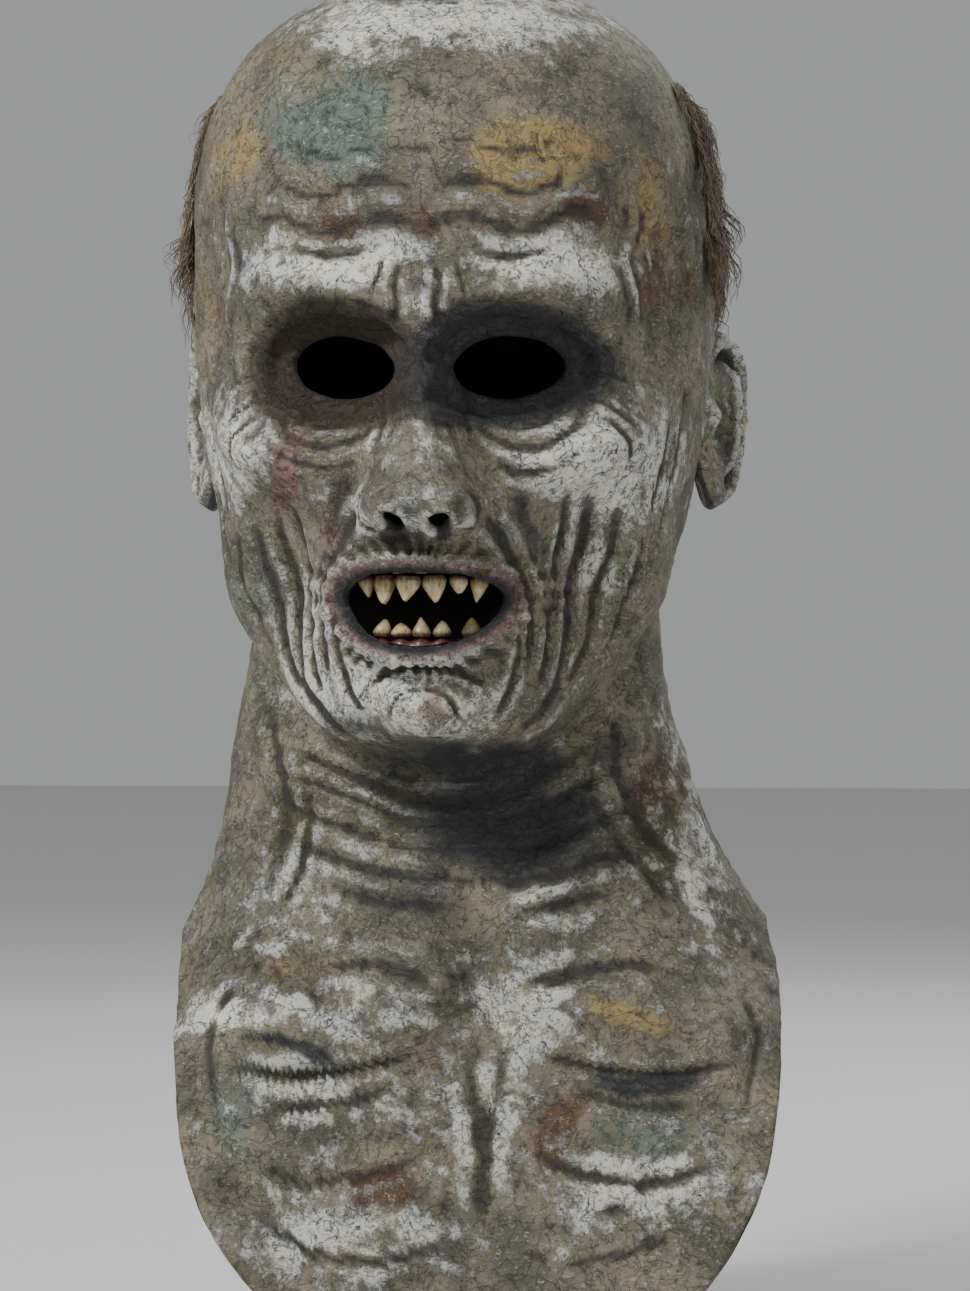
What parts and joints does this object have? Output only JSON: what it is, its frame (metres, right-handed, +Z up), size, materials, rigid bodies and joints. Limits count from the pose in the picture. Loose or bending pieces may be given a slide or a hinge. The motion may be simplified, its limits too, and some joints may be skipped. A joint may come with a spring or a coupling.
{
  "type": "zombie mask",
  "caption": "Hollow full-head pull-over latex zombie mask with neck and bib, open eyes and mouth, crooked teeth on gums and matted hair.",
  "frame": {"origin": "inside of the crown, where the wearer's head carries the mask", "axes": "+Z up, the face looks along -Y, +X is on the viewer's right"},
  "size_m": [0.2132, 0.2402, 0.4659],
  "materials": {
    "latex": "matte",
    "gum": "satin",
    "tooth": "satin",
    "hair": "matte"
  },
  "bodies": {
    "root": {"mask_skin": "latex", "upper_gum": "gum", "lower_gum": "gum", "tooth_upper_1": "tooth", "tooth_upper_2": "tooth", "tooth_upper_3": "tooth", "tooth_upper_4": "tooth", "tooth_upper_5": "tooth", "tooth_upper_6": "tooth", "tooth_lower_1": "tooth", "tooth_lower_2": "tooth", "tooth_lower_3": "tooth", "tooth_lower_4": "tooth", "tooth_lower_5": "tooth", "hair_left": "hair", "hair_back": "hair", "hair_right": "hair"}
  },
  "joints": []
}
